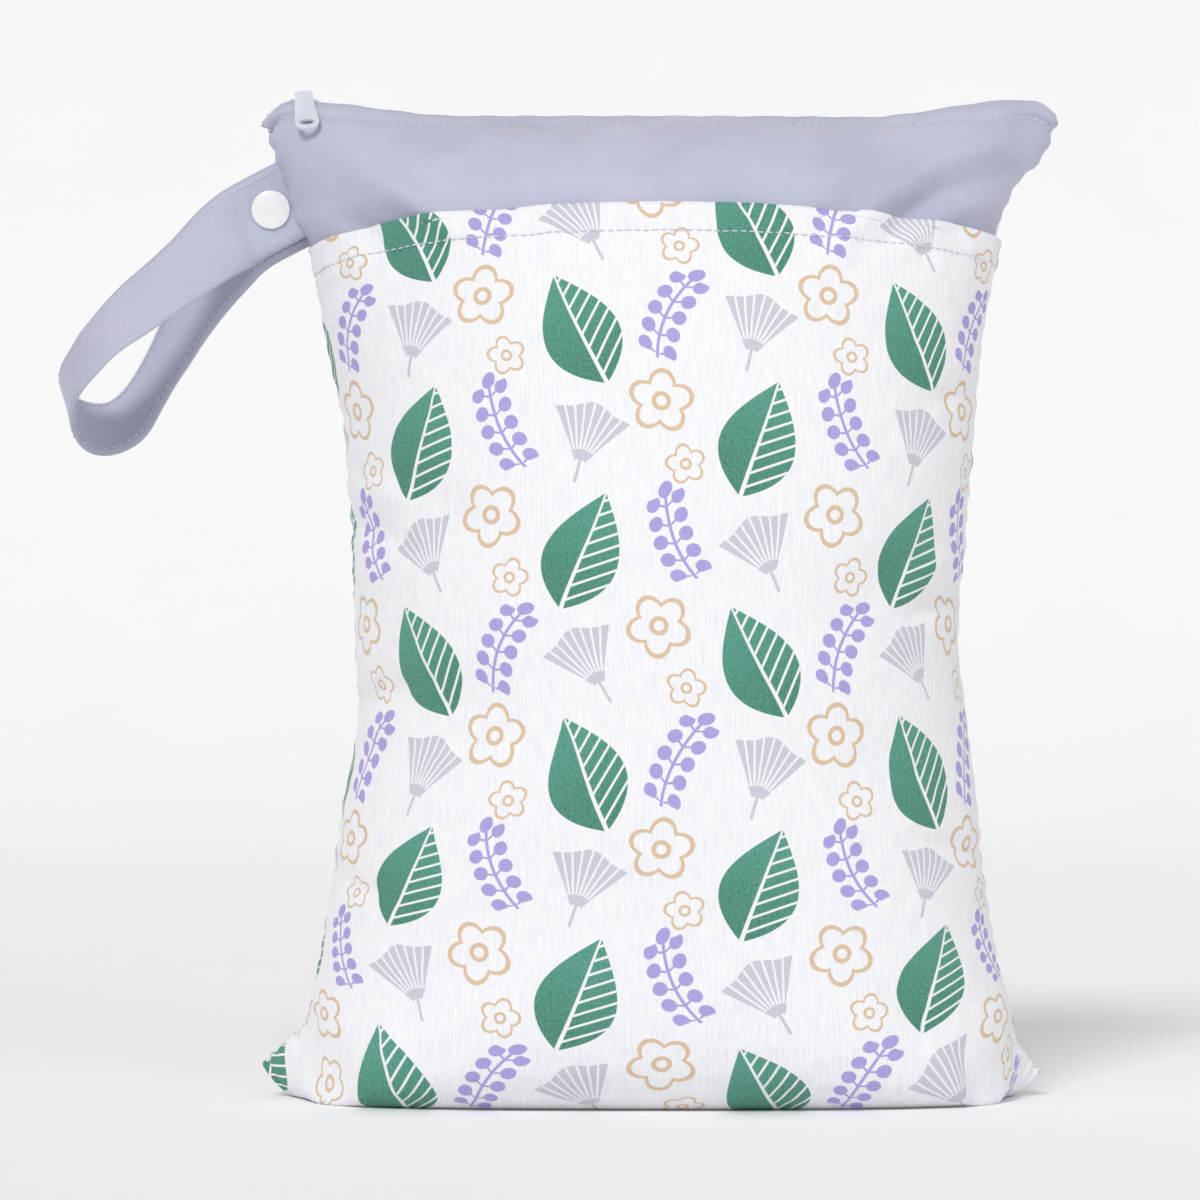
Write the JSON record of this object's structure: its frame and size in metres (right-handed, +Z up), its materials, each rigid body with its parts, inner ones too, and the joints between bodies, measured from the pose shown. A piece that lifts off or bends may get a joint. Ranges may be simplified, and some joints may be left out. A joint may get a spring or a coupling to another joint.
{
  "type": "cloth diaper wet bag",
  "caption": "Stuffed standing cloth wet bag with a zipped top, a front pocket with a hemmed edge and a snapped wrist strap.",
  "frame": {"origin": "middle of the flat base that the stuffed bag stands on", "axes": "+Z up, the front with its pocket faces -Y, +X to the right seen from the front"},
  "size_m": [0.3635, 0.1541, 0.3657],
  "materials": {
    "grey_cloth": "smooth",
    "print_cloth": "fine knit",
    "zip_tape": "woven",
    "zip_coil": "satin",
    "zip_metal": "satin",
    "snap_plastic": "glossy"
  },
  "bodies": {
    "bag": {"front_panel": "grey_cloth", "back_panel": "print_cloth", "front_pocket": "print_cloth", "zipper_tape_front": "zip_tape", "zipper_tape_back": "zip_tape", "zipper_coil_front": "zip_coil", "zipper_coil_back": "zip_coil", "zipper_slider": "zip_metal", "wrist_strap": "grey_cloth", "snap_cap": "snap_plastic", "snap_socket": "snap_plastic", "snap_back": "snap_plastic"},
    "zip_pull": {"zipper_pull": "zip_metal"}
  },
  "joints": [
    {"name": "pull_swing", "type": "hinge", "parent": "bag", "child": "zip_pull", "pos_m": [-0.1283, 0, 0.36418], "axis": [-1, 0, 0], "range_deg": [0, 165]}
  ]
}
